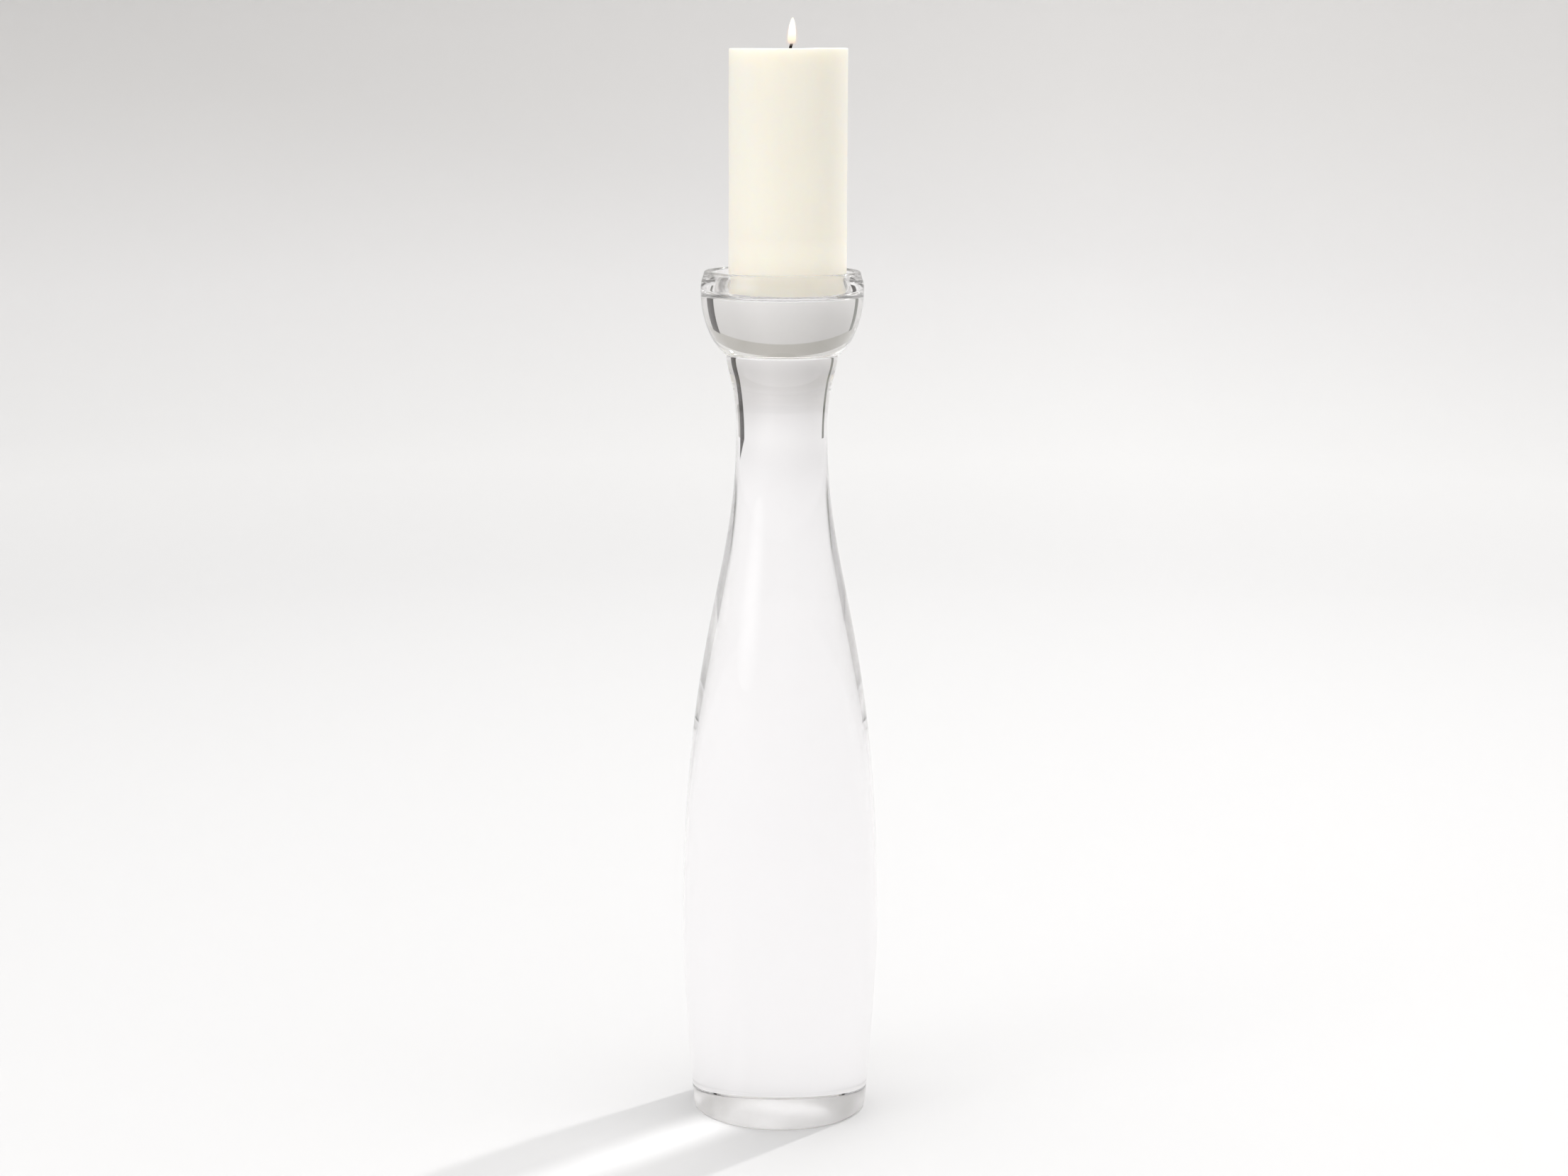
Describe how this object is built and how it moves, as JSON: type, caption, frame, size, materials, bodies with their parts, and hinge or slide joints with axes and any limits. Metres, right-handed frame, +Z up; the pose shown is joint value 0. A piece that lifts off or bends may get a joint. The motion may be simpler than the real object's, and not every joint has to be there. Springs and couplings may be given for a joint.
{
  "type": "glass candlestick",
  "caption": "Tall bottle-shaped candlestick of solid clear crystal with a bonded cup on top, holding a lit ivory pillar candle that lifts out.",
  "frame": {"origin": "centre of the flat base of the column, where it stands on a table or floor", "axes": "+Z up along the column's axis; the candle stands 3.3 mm off that axis towards +X; seen from the front the view runs along +Y"},
  "size_m": [0.1276, 0.1276, 0.6922],
  "materials": {
    "crystal_column": "solid clear crystal, fire polished, no colour, faint seed bubbles",
    "clear_adhesive": "water-clear cured adhesive film, optically matched to the crystal",
    "crystal_cup": "solid clear pressed crystal, fire polished, faint grey-green depth colour",
    "ivory_wax": "smooth ivory wax, waxy satin, faintly mottled, molten and glossy round the wick",
    "charred_cotton": "braided cotton, charred black above the wax, pale below",
    "tinned_steel": "thin tinned sheet steel, satin"
  },
  "bodies": {
    "stand": {"column": "crystal_column", "bond": "clear_adhesive", "cup": "crystal_cup"},
    "candle": {"candle_body": "ivory_wax", "wick": "charred_cotton", "wick_sustainer": "tinned_steel"}
  },
  "joints": [
    {"name": "candle_lift", "type": "slide", "parent": "stand", "child": "candle", "axis": [0, 0, 1], "range_m": [0, 0.06]}
  ]
}
